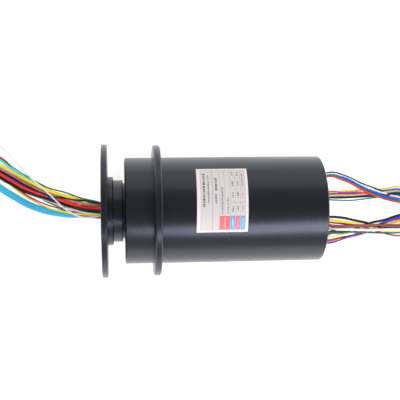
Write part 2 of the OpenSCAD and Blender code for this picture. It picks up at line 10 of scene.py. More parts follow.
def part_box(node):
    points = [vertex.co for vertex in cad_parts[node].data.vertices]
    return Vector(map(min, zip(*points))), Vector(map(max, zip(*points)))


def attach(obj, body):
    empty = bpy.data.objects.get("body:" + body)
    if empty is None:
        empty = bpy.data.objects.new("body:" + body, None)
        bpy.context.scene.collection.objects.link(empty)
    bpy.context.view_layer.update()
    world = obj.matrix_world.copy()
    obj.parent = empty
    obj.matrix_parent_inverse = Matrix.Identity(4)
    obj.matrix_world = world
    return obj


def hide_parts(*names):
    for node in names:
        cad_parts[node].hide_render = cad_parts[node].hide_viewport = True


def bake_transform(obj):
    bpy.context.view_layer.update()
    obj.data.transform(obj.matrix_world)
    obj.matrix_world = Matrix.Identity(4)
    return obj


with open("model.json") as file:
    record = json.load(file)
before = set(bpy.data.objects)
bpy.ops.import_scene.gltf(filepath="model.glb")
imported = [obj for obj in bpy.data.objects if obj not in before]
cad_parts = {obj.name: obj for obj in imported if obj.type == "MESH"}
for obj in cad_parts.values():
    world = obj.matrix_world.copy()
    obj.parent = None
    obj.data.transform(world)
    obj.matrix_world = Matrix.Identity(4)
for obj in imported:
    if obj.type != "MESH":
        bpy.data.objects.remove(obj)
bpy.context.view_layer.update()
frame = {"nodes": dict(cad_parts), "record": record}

MM = 0.001
TABLE_Z = -54.0

# ---- camera ----


def add_camera():
    """A long lens straight above, leaning a little towards the housing's rear end."""
    lens = bpy.data.cameras.new("camera")
    lens.lens = 78.34
    lens.sensor_width = 36.0
    lens.clip_start, lens.clip_end = 0.05, 20.0
    camera = bpy.data.objects.new("camera", lens)
    lean = (Matrix.Rotation(0.013878, 3, "Z") @ Matrix.Rotation(0.094551, 3, "Y")
            @ Matrix.Rotation(-0.02469, 3, "X"))
    place = Vector((-34.282, -9.589, 709.988)) * MM
    camera.matrix_world = Matrix.Translation(place) @ lean.transposed().to_4x4()
    bpy.context.scene.collection.objects.link(camera)
    bpy.context.scene.camera = camera


# ---- nodes ----


class Socket:
    """An output of a node, with arithmetic that adds Math nodes."""

    def __init__(self, nodes, link):
        self.nodes, self.link = nodes, link

    def output(self, key):
        """Another output of the same node."""
        return Socket(self.nodes, self.link.node.outputs[key])

    def __add__(self, other): return self.nodes.math("ADD", self, other)
    def __radd__(self, other): return self.nodes.math("ADD", other, self)
    def __sub__(self, other): return self.nodes.math("SUBTRACT", self, other)
    def __rsub__(self, other): return self.nodes.math("SUBTRACT", other, self)
    def __mul__(self, other): return self.nodes.math("MULTIPLY", self, other)
    def __rmul__(self, other): return self.nodes.math("MULTIPLY", other, self)
    def __mod__(self, other): return self.nodes.math("FLOORED_MODULO", self, other)
    def __rmod__(self, other): return self.nodes.math("FLOORED_MODULO", other, self)
    def __pow__(self, other): return self.nodes.math("POWER", self, other)
    def __rpow__(self, other): return self.nodes.math("POWER", other, self)
    def __abs__(self): return self.nodes.math("ABSOLUTE", self)
    def max(self, other): return self.nodes.math("MAXIMUM", self, other)


class Nodes:
    """The nodes of the world, of a material or of a Geometry Nodes tree."""

    def __init__(self, tree):
        self.tree = tree

    def give(self, socket, value):
        """Links a value to a socket, or sets it there. None leaves the socket alone."""
        if isinstance(value, Socket):
            self.tree.links.new(value.link, socket)
        elif value is not None:
            socket.default_value = (*value, 1.0) if socket.type == "RGBA" else value

    def node(self, kind, settings=None, *values, out=0, **named):
        """Adds a node: its settings first, then the values or links of its sockets."""
        new = self.tree.nodes.new(kind)
        for key, value in (settings or {}).items():
            if key == "stops":
                # Plain bands of colour, each from its place on.
                ramp = new.color_ramp
                ramp.interpolation = "CONSTANT"
                while len(ramp.elements) < len(value):
                    ramp.elements.new(0.5)
                for element, (place, colour) in zip(ramp.elements, value):
                    element.position, element.color = place, (*colour, 1.0)
            else:
                setattr(new, key, value)
        for key, value in enumerate(values):
            self.give(new.inputs[key], value)
        for key, value in named.items():
            self.give(new.inputs[key.replace("_", " ")], value)
        return Socket(self, new.outputs[out]) if new.outputs else None

    def math(self, operation, *values):
        """A Math node of that kind."""
        return self.node("ShaderNodeMath", {"operation": operation}, *values)

    def axes(self, vector):
        """The three parts of a vector."""
        split = self.node("ShaderNodeSeparateXYZ", {}, vector)
        return [split.output(k) for k in range(3)]

    def mix(self, factor, a, b):
        """One colour over another."""
        new = self.node("ShaderNodeMix", {"data_type": "RGBA"}, factor, out=2)
        for key, value in ((6, a), (7, b)):
            self.give(new.link.node.inputs[key], value)
        return new

    def blend(self, factor, a, b):
        """One number, then another."""
        return self.node("ShaderNodeMix", {}, factor, None, a, b)


class Shader(Nodes):
    """A material's nodes, with the surface's own shader ready for its values."""

    def __init__(self, name, **constants):
        self.material = bpy.data.materials.new(name)
        self.material.use_nodes = True
        super().__init__(self.material.node_tree)
        self.surface = self.tree.nodes["Principled BSDF"]
        for key, value in constants.items():
            self.set(key.replace("_", " ").title().replace("Ior", "IOR"), value)

    def set(self, key, value):
        """Gives the surface's shader a value or a link."""
        self.give(self.surface.inputs[key], value)

    def place(self):
        """Object coordinates, in metres."""
        return self.node("ShaderNodeTexCoord", out="Object")

    def attribute(self, name, out):
        """What the piece's own mesh keeps under that name."""
        return self.node("ShaderNodeAttribute", {"attribute_name": name}, out=out)

    def noise(self, vector, scale, detail=3.0):
        """Smooth noise from 0 to 1, at a scale per metre."""
        return self.node("ShaderNodeTexNoise", Vector=vector, Scale=scale, Detail=detail)

    def lathe_marks(self, place, scale, detail):
        """Noise drawn out round the axis, like the marks of a lathe's tool."""
        x, y, z = self.axes(place)
        radius = (y * y + z * z) ** 0.5
        return self.noise(self.node("ShaderNodeCombineXYZ", {}, x, radius), scale, detail)

    def between(self, value, low, high):
        """Turns 0 to 1 into low to high."""
        return value * (high - low) + low

    def bump(self, height, strength, distance):
        """Raises the surface's fine relief, by a distance in metres."""
        self.set("Normal", self.node("ShaderNodeBump", Height=height, Strength=strength,
                                     Distance=distance))


# ---- leads ----

LEAD_LENGTH = 300.0
BARE_END = 6.0
POINTS = 200  # along a lead while it settles
STEPS = 145   # along a lead's finished insulation
GLAND_BORE = 7.0
OUTLET_BORE = 3.0
COIL_FLOOR = TABLE_Z + 0.9

# Stations along the axis, and the height of the bundle's underside at each of them.
ROTOR_X = [-46, -53.5, -64, -78, -92, -104, -114, -124, -136]
ROTOR_LOW = [-7, -7, -11, -20, -32, -43, -51, -54, -54]
ROTOR_COIL = (-176, 24)
# Each lead from the lowest up: name, colour, diameter, its places across the bundle at the
# stations, its radius in the coil and the angle where it joins it.
ROTOR_LEADS = [
    ("blue_data_cable", "cyan_jacket", 6.0, [-1.5, -1.8, -1.8, -1.2, 1, 4.5, 9, 15, 23], 27.6, 48),
    ("rotor_red_thin", "red", 1.3, [-5.5, -5, -3, 2, 6, 11, 16.5, 24, 32.5], 29.5, 55),
    ("rotor_grey_teal", "dark_teal", 1.3, [-4.5, -4.5, -3.5, 2, 8.5, 15, 20.5, 26, 33], 30.5, 55),
    ("rotor_white", "white", 1.4, [-2, -1.5, -0.5, 4.5, 9.5, 14.5, 19.5, 24, 30.5], 26.0, 50),
    ("rotor_yellow_low", "yellow", 1.4, [-3.5, -3, -2.5, 0, 3.5, 9.5, 15.5, 23, 32], 28.0, 52),
    ("rotor_yellow_thin", "yellow", 1.3, [1, 1.5, 3, 8, 14, 20, 25, 30.8, 38], 31.5, 60),
    ("rotor_blue", "blue", 1.6, [2.5, 3, 4, 8.5, 13.8, 18.6, 23.3, 29, 36], 30.0, 56),
    ("rotor_red_thick", "red", 2.6, [1.3, 2.3, 4, 9.1, 14, 17.8, 21.5, 26.8, 34.4], 32.5, 60),
    ("rotor_cyan", "cyan", 2.0, [3.4, 4.4, 7.4, 13, 18.7, 25.5, 31.5, 38.5, 47.5], 35.0, 66),
    ("rotor_red_upper", "red", 1.3, [4.5, 5.5, 7.5, 12, 16.5, 22.5, 30, 39, 49.5], 34.6, 66),
    ("rotor_yellow_thick", "yellow", 2.6, [3.8, 4.8, 8, 13.5, 18.5, 25, 30.5, 36, 42.5], 34.5, 66),
    ("rotor_black_thick", "black", 2.5, [-1.4, -0.9, 1.3, 6.6, 10.9, 15.2, 19, 24.8, 32.6], 32.2, 58),
    ("rotor_brown", "brown", 2.4, [4, 5, 7, 11.5, 15, 21.5, 27, 32.5, 39], 33.0, 62),
    ("rotor_black", "black", 1.5, [5.5, 7, 9, 11.5, 14, 19.5, 24.5, 30.5, 37], 31.2, 60),
    ("rotor_teal", "dark_teal", 1.3, [6.2, 8.5, 11, 16.5, 20.5, 26.5, 32.5, 39.5, 48], 35.3, 68),
    ("rotor_crossing", "white", 1.4, [-3.5, -4.5, -4.5, 3, 16.5, 26.5, 36.5, 47.5, 59.5], 34.0, 90),
]

STATOR_X = {
    1: [131, 139, 150, 160, 170, 181, 192, 206, 219],
    2: [131, 139, 150, 162, 174, 185, 197, 208, 219],
    3: [131, 139, 150, 162, 174, 185, 197, 208, 219],
    4: [131, 139, 148, 158, 168, 179, 190, 204, 219],
}
STATOR_HEIGHT = {
    1: [-19.4, -19.4, -24, -30, -38, -45, -50, -51, -51],
    2: [-31.4, -31.4, -34.5, -40, -45.5, -50, -51, -51, -51],
    3: [-31.4, -31.4, -31.4, -33, -38.5, -45, -50, -51, -51],
    4: [-19.4, -19.4, -24.5, -36, -44, -49, -51, -51, -51],
}
STATOR_OUTLET_Y = {1: 27.7, 2: 10.2, 3: -10.2, 4: -26.7}
STATOR_COIL = (258, 24)
# Each lead from the lowest up: name, outlet, colour, diameter, its places across from 150 on,
# and its radius in the coil.
STATOR_LEADS = [
    ("stator_1_black", 1, "black", 1.3, [31, 29.5, 26.8, 22.5, 19, 14, 11], 25.6),
    ("stator_2_teal", 2, "dark_teal", 1.3, [7.5, 7, 7, 8, 9.5, 11, 11.5], 27.4),
    ("stator_2_black", 2, "black", 1.5, [9.5, 9.5, 10, 10.5, 11, 12, 12.5], 26.8),
    ("stator_2_violet", 2, "violet", 1.3, [10.5, 10.5, 10.5, 11.5, 12.5, 13, 13.5], 26.2),
    ("stator_2_yellow", 2, "gold", 1.5, [11, 11.5, 11.5, 12.5, 13, 14, 15], 25.8),
    ("stator_2_blue", 2, "blue", 1.5, [12.5, 12.5, 13, 13.5, 14.5, 15.5, 16.5], 25.4),
    ("stator_2_gold", 2, "gold", 1.3, [13.5, 14.5, 15, 16, 16.5, 17.5, 19], 24.9),
    ("stator_2_red", 2, "red", 1.3, [14.5, 14, 14, 13.5, 12, 10, 7.5], 28.0),
    ("stator_1_white", 1, "white", 1.4, [30, 28.1, 25.3, 21, 17, 12.5, 9.5], 26.5),
    ("stator_1_blue", 1, "blue", 1.5, [28.6, 27, 24.2, 19, 15, 10, 7.5], 27.5),
    ("stator_1_green", 1, "green", 1.5, [28.4, 26.5, 23.2, 18, 13.5, 9, 6], 28.4),
    ("stator_1_red", 1, "red", 1.5, [27.8, 25, 22.2, 17.5, 12.5, 7.5, 4.5], 29.2),
    ("stator_3_dark_red", 3, "dark_red", 1.4, [-12.5, -13.5, -15, -17.5, -21, -24, -25.5], 35.0),
    ("stator_3_black", 3, "black", 2.2, [-7.5, -8.5, -11, -13, -16.5, -17.5, -18], 33.2),
    ("stator_3_yellow", 3, "yellow", 2.2, [-10.5, -12, -14, -16, -19.5, -20.5, -21], 34.2),
    ("stator_4_black", 4, "black", 2.0, [-20, -20.5, -20, -17.5, -13.5, -11, -7], 30.4),
    ("stator_4_dark_red", 4, "dark_red", 1.4, [-27.5, -26, -25, -23, -19, -13.5, -9.5], 31.4),
    ("stator_4_yellow", 4, "yellow", 1.4, [-24.5, -23.5, -22, -20, -17.5, -15, -13], 32.4),
    ("stator_4_orange", 4, "orange", 1.4, [-28.5, -27, -26, -24, -21.5, -16.5, -11], 31.8),
    ("stator_4_blue", 4, "blue", 1.5, [-30, -28, -25.5, -22.5, -18.5, -13, -7.5], 30.8),
    ("stator_4_teal", 4, "dark_teal", 1.6, [-22, -21.5, -21, -21.5, -22, -22.5, -22], 34.6),
    ("stator_3_white", 3, "white", 2.4, [-18, -18.5, -19, -19.5, -19.5, -19.5, -19.5], 33.6),
    ("stator_3_mauve_low", 3, "mauve", 1.4, [-16.5, -16.5, -16.5, -16.5, -16, -15.5, -15.5], 32.4),
    ("stator_3_mauve", 3, "mauve", 1.9, [-15, -15.5, -15.5, -15.5, -15.5, -16.5, -17], 32.8),
]


def length_along(line):
    """How far along the line each of its points is."""
    return np.concatenate([[0], np.cumsum(np.linalg.norm(np.diff(line, axis=0), axis=1))])


def even(line, count):
    """The same line with that many evenly spaced points."""
    run = length_along(line)
    at = np.linspace(0, run[-1], count)
    return np.column_stack([np.interp(at, run, line[:, k]) for k in range(line.shape[1])])


def smooth_line(points, count):
    """A smooth curve through the points, as that many evenly spaced points."""
    p = np.asarray(points, float)
    p = np.vstack([2 * p[0] - p[1], p, 2 * p[-1] - p[-2]])
    line = []
    for a, b, c, d in zip(p[:-3], p[1:-2], p[2:-1], p[3:]):
        t1 = np.linalg.norm(b - a) ** 0.5
        t2 = t1 + np.linalg.norm(c - b) ** 0.5
        t3 = t2 + np.linalg.norm(d - c) ** 0.5
        t = np.linspace(t1, t2, 24, endpoint=False)[:, None]
        ab = a + (b - a) * t / t1
        bc = b + (c - b) * (t - t1) / (t2 - t1)
        cd = c + (d - c) * (t - t2) / (t3 - t2)
        ac, bd = ab + (bc - ab) * t / t2, bc + (cd - bc) * (t - t1) / (t3 - t1)
        line.append(ac + (bd - ac) * (t - t1) / (t2 - t1))
    return even(np.vstack(line + [p[-2:-1]]), count)


def blurred(values, width):
    """Values smoothed along a lead, with both ends kept."""
    reach = int(3 * width) + 1
    weights = np.exp(-0.5 * (np.arange(-reach, reach + 1) / width) ** 2)
    before, after = 2 * values[0] - values[reach:0:-1], 2 * values[-1] - values[-2:-reach - 2:-1]
    padded = np.concatenate([before, values, after])
    return np.convolve(padded, weights / weights.sum(), "valid")


def settle(leads):
    """Lets the leads sink onto their lowest lines and onto each other, a little at a time.

    Every lead keeps close to its plan, less so in the coil. Where two touch, both give way along
    the line between their middles, so the one that starts higher stays on top.
    """
    layer, sink, last_sink, push_share, widest_push = 0.55, 0.1, 0.02, 0.35, 0.4
    firm, less_in_coil, coil_from, coil_over = 0.12, 0.1, 110, 20
    rounds, last_rounds = 150, 30
    plan = np.array([lead["plan"] for lead in leads])
    floor = np.array([lead["low"] + lead["r"] for lead in leads])
    radius = np.array([lead["r"] for lead in leads])
    start = np.array([layer * k + lead.get("lift", 0) for k, lead in enumerate(leads)])
    place = np.dstack([plan, floor + start[:, None]])
    place[:, :3, 2] = floor[:, :3]
    one, other = np.triu_indices(len(leads), 1)
    pick_one, pick_other = np.eye(len(leads))[:, one], np.eye(len(leads))[:, other]
    reach = (radius[one] + radius[other])[:, None]
    coiled = np.clip((np.linspace(0, LEAD_LENGTH, POINTS) - coil_from) / coil_over, 0, 1)
    hold = (firm - less_in_coil * coiled)[None, :, None]
    for turn in range(rounds):
        place[..., 2] -= sink if turn < rounds - last_rounds else last_sink
        place[..., :2] += hold * (plan - place[..., :2])
        push = np.zeros_like(place)
        for shift in range(-6, 7) if turn % 3 == 0 else range(-1, 2):
            i = slice(max(0, -shift), POINTS - max(0, shift))
            j = slice(max(0, shift), POINTS + min(0, shift))
            apart = place[one, i] - place[other, j]
            far = np.sqrt(np.einsum("abc,abc->ab", apart, apart)) + 1e-9
            move = apart * (push_share * np.maximum(reach - far, 0) / far)[..., None]
            push[:, i] += np.tensordot(pick_one, move, 1)
            push[:, j] -= np.tensordot(pick_other, move, 1)
        place += np.clip(push, -widest_push, widest_push)
        place[..., 2] = np.maximum(place[..., 2], floor)
        off = place - np.dstack([plan, floor])
        soft = off.copy()
        soft[:, 1:-1] = (off[:, :-2] + 2 * off[:, 1:-1] + off[:, 2:]) / 4
        place += 0.5 * (soft - off)
    for lead, line in zip(leads, place):
        lead["line"] = np.column_stack([blurred(line[:, k], 1.5) for k in range(3)])


def around(centre, radius, angles):
    """Points on a circle in the plan, or on a spiral where each has its own radius."""
    turn = np.radians(angles)
    return np.column_stack([centre[0] + radius * np.cos(turn), centre[1] + radius * np.sin(turn)])


def coil_turn(way, centre, radius, first, last):
    """The one turn in the coil. It widens or narrows so that the lead ends where the coil does."""
    inner, outer = 27, 34
    lead_in = smooth_line(np.vstack(way + [around(centre, radius, np.array([first]))]), 200)
    mean = (LEAD_LENGTH - length_along(lead_in)[-1]) / math.radians(last - first)
    mean = np.clip(mean, inner, outer)
    angles = np.linspace(first, last, 22)
    share = np.clip((angles - first) / 80, 0, 1)
    return around(centre, radius + (mean - radius) * share * share * (3 - 2 * share), angles)


def rotor_lines():
    """The rotor leads' centrelines, from the gland down to the table and once round the coil."""
    gland_end, cable_end, coil_start, falling = -57, -95, -140, 80
    crossing_bend = [(-146, 63), (-158, 63.5)]
    leads = []
    xs = np.array(ROTOR_X, float)
    fall = smooth_line(np.column_stack([xs, ROTOR_LOW]), 100)[::-1]
    for name, colour, diameter, across, radius, joins in ROTOR_LEADS:
        r = diameter / 2
        way = [np.column_stack([xs, across])]
        if name == "rotor_crossing":
            way.append(crossing_bend)
        way.append(coil_turn(way, ROTOR_COIL, radius, joins, 350))
        plan = smooth_line(np.vstack(way), POINTS)
        x, y = plan[:, 0], plan[:, 1]
        low = np.interp(x, fall[:, 0], fall[:, 1])
        low[x < coil_start] = COIL_FLOOR
        bore = -np.sqrt(np.maximum((GLAND_BORE - r) ** 2 - y ** 2, 0)) - r
        low = np.where(x > gland_end, np.maximum(low, bore), low)
        if leads:
            # Near the gland the leads lie over the data cable.
            cable = leads[0]
            middle, bottom = (np.interp(-x, -cable["plan"][:falling, 0], line[:falling])
                              for line in (cable["plan"][:, 1], cable["low"]))
            rise = np.sqrt(np.maximum((cable["r"] + r) ** 2 - (y - middle) ** 2, 0))
            over = bottom + cable["r"] + rise - r
            low = np.where((x > cable_end) & (rise > 0), np.maximum(low, over), low)
        leads.append({"name": name, "colour": colour, "r": r, "plan": plan, "low": blurred(low, 3)})
    leads[-1]["lift"] = 7
    settle(leads)
    return leads


def stator_lines():
    """The housing leads' centrelines, from the four outlets to the table and round the coil."""
    leads = []
    outlet_end, bend, join, flat_start, bundle_depth = 139, 236, 252, 128, 2.6
    for name, outlet, colour, diameter, across, radius in STATOR_LEADS:
        r = diameter / 2
        room = OUTLET_BORE - r
        xs = np.array(STATOR_X[outlet], float)
        fall = smooth_line(np.column_stack([xs, STATOR_HEIGHT[outlet]]), 100)
        fellows = [lead[4][0] for lead in STATOR_LEADS if lead[1] == outlet]
        spread = float(np.clip((across[0] - np.mean(fellows)) * 0.5, -room, room))
        last = STATOR_COIL[1] - math.sqrt(radius ** 2 - (STATOR_COIL[0] - join) ** 2)
        way = [np.column_stack([xs, [STATOR_OUTLET_Y[outlet] + spread] * 2 + list(across)]),
               [(bend, (across[-1] + last) / 2), (join, last)]]
        way.append(coil_turn(way, STATOR_COIL, radius, -85, 225))
        plan = smooth_line(np.vstack(way), POINTS)
        low = np.interp(plan[:, 0], fall[:, 0], fall[:, 1]) - bundle_depth
        outlet_low = STATOR_HEIGHT[outlet][0] - math.sqrt(max(room ** 2 - spread ** 2, 0)) - r
        low = np.where(plan[:, 0] < outlet_end, outlet_low, np.maximum(low, TABLE_Z))
        low[length_along(plan) > flat_start] = COIL_FLOOR
        leads.append({"name": name, "colour": colour, "r": r, "plan": plan, "low": blurred(low, 3)})
    settle(leads)
    return leads


def closed_tube(rings, sides):
    """The faces of a tube through rings of corners, closed onto two more corners at its ends."""
    faces = [(i * sides + k, i * sides + (k + 1) % sides, (i + 1) * sides + (k + 1) % sides,
              (i + 1) * sides + k) for i in range(rings - 1) for k in range(sides)]
    first, last, end = rings * sides, rings * sides + 1, (rings - 1) * sides
    faces += [(first, (k + 1) % sides, k) for k in range(sides)]
    faces += [(last, end + k, end + (k + 1) % sides) for k in range(sides)]
    return faces


def tube_mesh(name, line, radii, sides):
    """A closed tube along a line. Its corners know how far along and how far round they are."""
    line = np.asarray(line, float) * MM
    ahead = np.gradient(line, axis=0)
    ahead /= np.linalg.norm(ahead, axis=1)[:, None]
    side = np.cross(ahead[0], (0, 0, 1.0))
    rings = []
    turn = np.linspace(0, 2 * math.pi, sides, endpoint=False)
    run = length_along(line)
    for point, way, radius in zip(line, ahead, radii):
        side = side - way * side.dot(way)
        side /= np.linalg.norm(side)
        up = np.cross(side, way)
        ring = np.cos(turn)[:, None] * side + np.sin(turn)[:, None] * up
        rings.append(point + radius * MM * ring)
    count = len(line)
    corners = np.vstack(rings + [line[:1], line[-1:]])
    faces = closed_tube(count, sides)
    mesh = bpy.data.meshes.new(name)
    mesh.from_pydata(corners.tolist(), [], faces)
    check = bmesh.new()
    check.from_mesh(mesh)
    bmesh.ops.recalc_face_normals(check, faces=check.faces)
    check.to_mesh(mesh)
    check.free()
    along = mesh.attributes.new("along", "FLOAT", "POINT")
    along.data.foreach_set("value", np.concatenate([np.repeat(run, sides), [0, run[-1]]]))
    share = mesh.attributes.new("turn", "FLOAT", "POINT")
    share.data.foreach_set("value", np.concatenate([np.tile(turn / (2 * math.pi), count), [0, 0]]))
    mesh.polygons.foreach_set("use_smooth", [True] * len(mesh.polygons))
    piece = bpy.data.objects.new(name, mesh)
    bpy.context.scene.collection.objects.link(piece)
    return piece


def add_lead(lead):
    """One lead: its insulation, and the tinned strands at its stripped end."""
    line = smooth_line(lead["line"], 600)
    run = length_along(line)
    length = min(run[-1], LEAD_LENGTH)
    bare = length - BARE_END
    at = np.concatenate([np.linspace(0, bare, STEPS), [bare + 0.1],
                         np.linspace(bare + 1, length, 4)])
    line = np.column_stack([np.interp(at, run, line[:, k]) for k in range(3)])
    line[:, 2] = np.maximum(line[:, 2], TABLE_Z + lead["r"])
    strands = lead["r"] * 0.62
    radii = np.where(at > bare, strands, lead["r"])
    sides = 16 if lead["r"] > 2 else 10
    piece = tube_mesh(lead["name"], line, radii, sides)
    piece.data.materials.append(finishes[lead["colour"]])
    piece.data.materials.append(finishes["tinned"])
    for face in piece.data.polygons:
        if min(face.vertices) >= STEPS * sides:
            face.material_index = 1
    return piece, line * MM


# ---- finishes ----


def anodised(name, shine, tint):
    """Satin black anodised aluminium, with the lathe's fine marks left in it."""
    s = Shader(name, specular_ior_level=shine, specular_tint=tint)
    place = s.place()
    marks = s.lathe_marks(place, 2600, 2.0)
    cloud = s.noise(place, 60)
    speck = s.noise(place, 1800, 2.0)
    s.set("Base Color", s.mix(s.between(cloud, 0.2, 0.8),
                              (0.0045, 0.0045, 0.0052), (0.0085, 0.0085, 0.0095)))
    s.set("Roughness", s.between(cloud * 0.5 + speck * 0.5, 0.22, 0.32))
    s.bump(marks * 0.7 + speck * 0.3, 0.10, 0.00006)
    return s.material


def turned_metal(name, colour, dark, rough):
    """Bare metal with fine turning marks."""
    s = Shader(name, metallic=1.0)
    place = s.place()
    marks = s.lathe_marks(place, 3200, 3.0)
    tarnish = s.noise(place, 90, 4.0)
    s.set("Base Color", s.mix(s.between(tarnish, 0.0, 0.7), colour, dark))
    s.set("Roughness", s.between(marks, rough - 0.07, rough + 0.09))
    s.bump(marks, 0.15, 0.00005)
    return s.material


def moulded(name, colour, worn, rough, grain=900):
    """Moulded plastic or rubber with a fine grain and a little unevenness in its colour."""
    s = Shader(name)
    place = s.place()
    cloud = s.noise(place, 45)
    skin = s.noise(place, grain)
    s.set("Base Color", s.mix(s.between(cloud, 0.1, 0.9), colour, worn))
    s.set("Roughness", s.between(skin, rough - 0.06, rough + 0.08))
    s.bump(skin, 0.2, 0.00008)
    return s.material


def insulation(name, colour):
    """A lead's insulation: drawn smooth, paler where it has been handled, faintly uneven."""
    s = Shader(name, specular_ior_level=0.3)
    place = s.place()
    handled = s.noise(place, 70)
    drawn = s.noise(place, 1500, 2.0)
    pale = tuple(min(c * 1.1 + 0.004, 0.97) for c in colour)
    deep = tuple(c * 0.92 for c in colour)
    s.set("Base Color", s.mix(s.between(handled, -0.1, 1.1), deep, pale))
    s.set("Roughness", s.between(drawn * 0.4 + handled * 0.6, 0.28, 0.46))
    s.bump(drawn, 0.15, 0.00006)
    return s.material


def bundled_leads():
    """Many thin leads packed side by side along the axis, each of its own colour, with painted shade
    darkening each lead towards the gaps between them.
    """
    s = Shader("bundled_leads", specular_ior_level=0.3)
    place = s.place()
    y, z = s.axes(place)[1:]
    middle = s.node("ShaderNodeTexVoronoi", {"voronoi_dimensions": "2D"},
                    Vector=s.node("ShaderNodeCombineXYZ", {}, y, z), Scale=650.0)
    hue = s.axes(middle.output("Color"))[0]
    colours = [(0.85, 0.03, 0.02), (0.95, 0.8, 0.05), (0.01, 0.09, 0.7), (0.012, 0.2, 0.2),
               (0.005, 0.005, 0.006)]
    stops = [(k / 5 + 0.001, colour) for k, colour in enumerate(colours)]
    picked = s.node("ShaderNodeValToRGB", {"stops": stops}, hue)
    # The colour darkens towards each lead's edges: painted shade in the gaps between the leads.
    s.set("Base Color", s.mix((middle * 1.3 - 0.25).max(0.0), picked, (0.01, 0.01, 0.01)))
    s.set("Roughness", s.between(s.noise(place, 300), 0.32, 0.5))
    s.bump(1 - middle, 0.4, 0.0003)
    return s.material


def tinned_strands():
    """Twisted tinned copper at a lead's stripped end, darker in the grooves between the strands as
    painted shade.
    """
    s = Shader("tinned_strands", metallic=1.0)
    along, turn = s.attribute("along", "Fac"), s.attribute("turn", "Fac")
    twist = (along * 420 + turn * 5) % 1.0
    strand = abs(twist - 0.5) * 2
    # The colour darkens towards the grooves between the strands: painted shade in the grooves.
    s.set("Base Color", s.mix(strand, (0.75, 0.74, 0.72), (0.4, 0.38, 0.36)))
    s.set("Roughness", s.between(strand, 0.28, 0.5))
    s.bump(strand, 0.5, 0.00012)
    return s.material


def printed_film():
    """The label's film: its print is in the piece's own colours, under a satin face."""
    s = Shader("printed_film", coat_weight=0.6, coat_roughness=0.35)
    place = s.place()
    fibre = s.noise(place, 700, 4.0)
    smudge = s.noise(place, 60)
    s.set("Base Color", s.mix(s.between(smudge, 0.0, 0.16), s.attribute("print", "Color"),
                              (0.62, 0.60, 0.66)))
    s.set("Roughness", s.between(fibre, 0.42, 0.58))
    s.bump(fibre, 0.08, 0.00004)
    return s.material


def circuit_board():
    """Green solder mask, mottled, with fine raised tracks."""
    s = Shader("circuit_board", coat_weight=0.3, coat_roughness=0.2)
    place = s.place()
    track = abs((s.axes(place)[1] * 450) % 1.0 - 0.5) * 2
    mottle = s.noise(place, 120)
    s.set("Base Color", s.mix(track * 0.6 + mottle * 0.4, (0.01, 0.11, 0.04), (0.03, 0.26, 0.1)))
    s.set("Roughness", s.between(mottle, 0.3, 0.45))
    s.bump(track, 0.2, 0.0001)
    return s.material


# Each metal's colour, where it is tarnished, and how rough it is.
METALS = {
    "machined_aluminium": ((0.7, 0.71, 0.73), (0.5, 0.5, 0.52), 0.32),
    "black_screw": ((0.07, 0.07, 0.075), (0.035, 0.035, 0.04), 0.38),
    "gold_wire": ((0.83, 0.6, 0.22), (0.68, 0.45, 0.15), 0.25),
    "brass_ring": ((0.72, 0.5, 0.2), (0.5, 0.32, 0.12), 0.3),
    "gold_ring": ((0.85, 0.62, 0.24), (0.7, 0.47, 0.16), 0.22),
    "bearing_steel": ((0.62, 0.63, 0.65), (0.45, 0.46, 0.48), 0.18),
}
# Each plastic's or rubber's colour, where it is worn, how rough it is, and its grain.
MOULDED = {
    "block_plastic": ((0.72, 0.66, 0.5), (0.62, 0.55, 0.4), 0.5),
    "carbon_brush": ((0.03, 0.03, 0.032), (0.06, 0.06, 0.06), 0.6, 2200),
    "black_plastic": ((0.02, 0.02, 0.022), (0.035, 0.035, 0.037), 0.48),
    "sleeve_plastic": ((0.55, 0.44, 0.24), (0.42, 0.32, 0.16), 0.5),
    "black_rubber": ((0.014, 0.014, 0.015), (0.03, 0.03, 0.03), 0.62, 1400),
    "tie_nylon": ((0.78, 0.78, 0.74), (0.66, 0.65, 0.6), 0.42, 1200),
}
COLOURS = {
    "cyan_jacket": (0.04, 0.49, 0.78), "red": (0.95, 0.035, 0.025), "dark_teal": (0.012, 0.2, 0.2),
    "white": (0.92, 0.92, 0.90), "yellow": (0.98, 0.84, 0.05), "black": (0.004, 0.005, 0.006),
    "blue": (0.01, 0.09, 0.85), "brown": (0.56, 0.19, 0.15), "cyan": (0.12, 0.78, 0.85),
    "violet": (0.12, 0.09, 0.42), "green": (0.008, 0.2, 0.13), "dark_red": (0.36, 0.015, 0.018),
    "mauve": (0.3, 0.09, 0.1), "orange": (0.95, 0.24, 0.08), "gold": (0.85, 0.63, 0.015),
}


def make_finishes():
    """Every finish by name: the record's slots, and the colours of the leads."""
    found = {
        "black_anodised": anodised("black_anodised", 0.66, (0.76, 0.8, 1.0)),
        "board": circuit_board(),
        "lead_plastic": bundled_leads(),
        "label_paper": printed_film(),
        "tinned": tinned_strands(),
    }
    for name, values in METALS.items():
        found[name] = turned_metal(name, *values)
    for name, values in MOULDED.items():
        found[name] = moulded(name, *values)
    for name, colour in COLOURS.items():
        found[name] = insulation("insulation_" + name, colour)
    return found


# ---- turned pieces ----

# Radii of the circles of holes: through the flanges, in the hub, and in the rear cover.
FLANGE_CIRCLE, HUB_CIRCLE, COVER_CIRCLE = 48, 21, 33


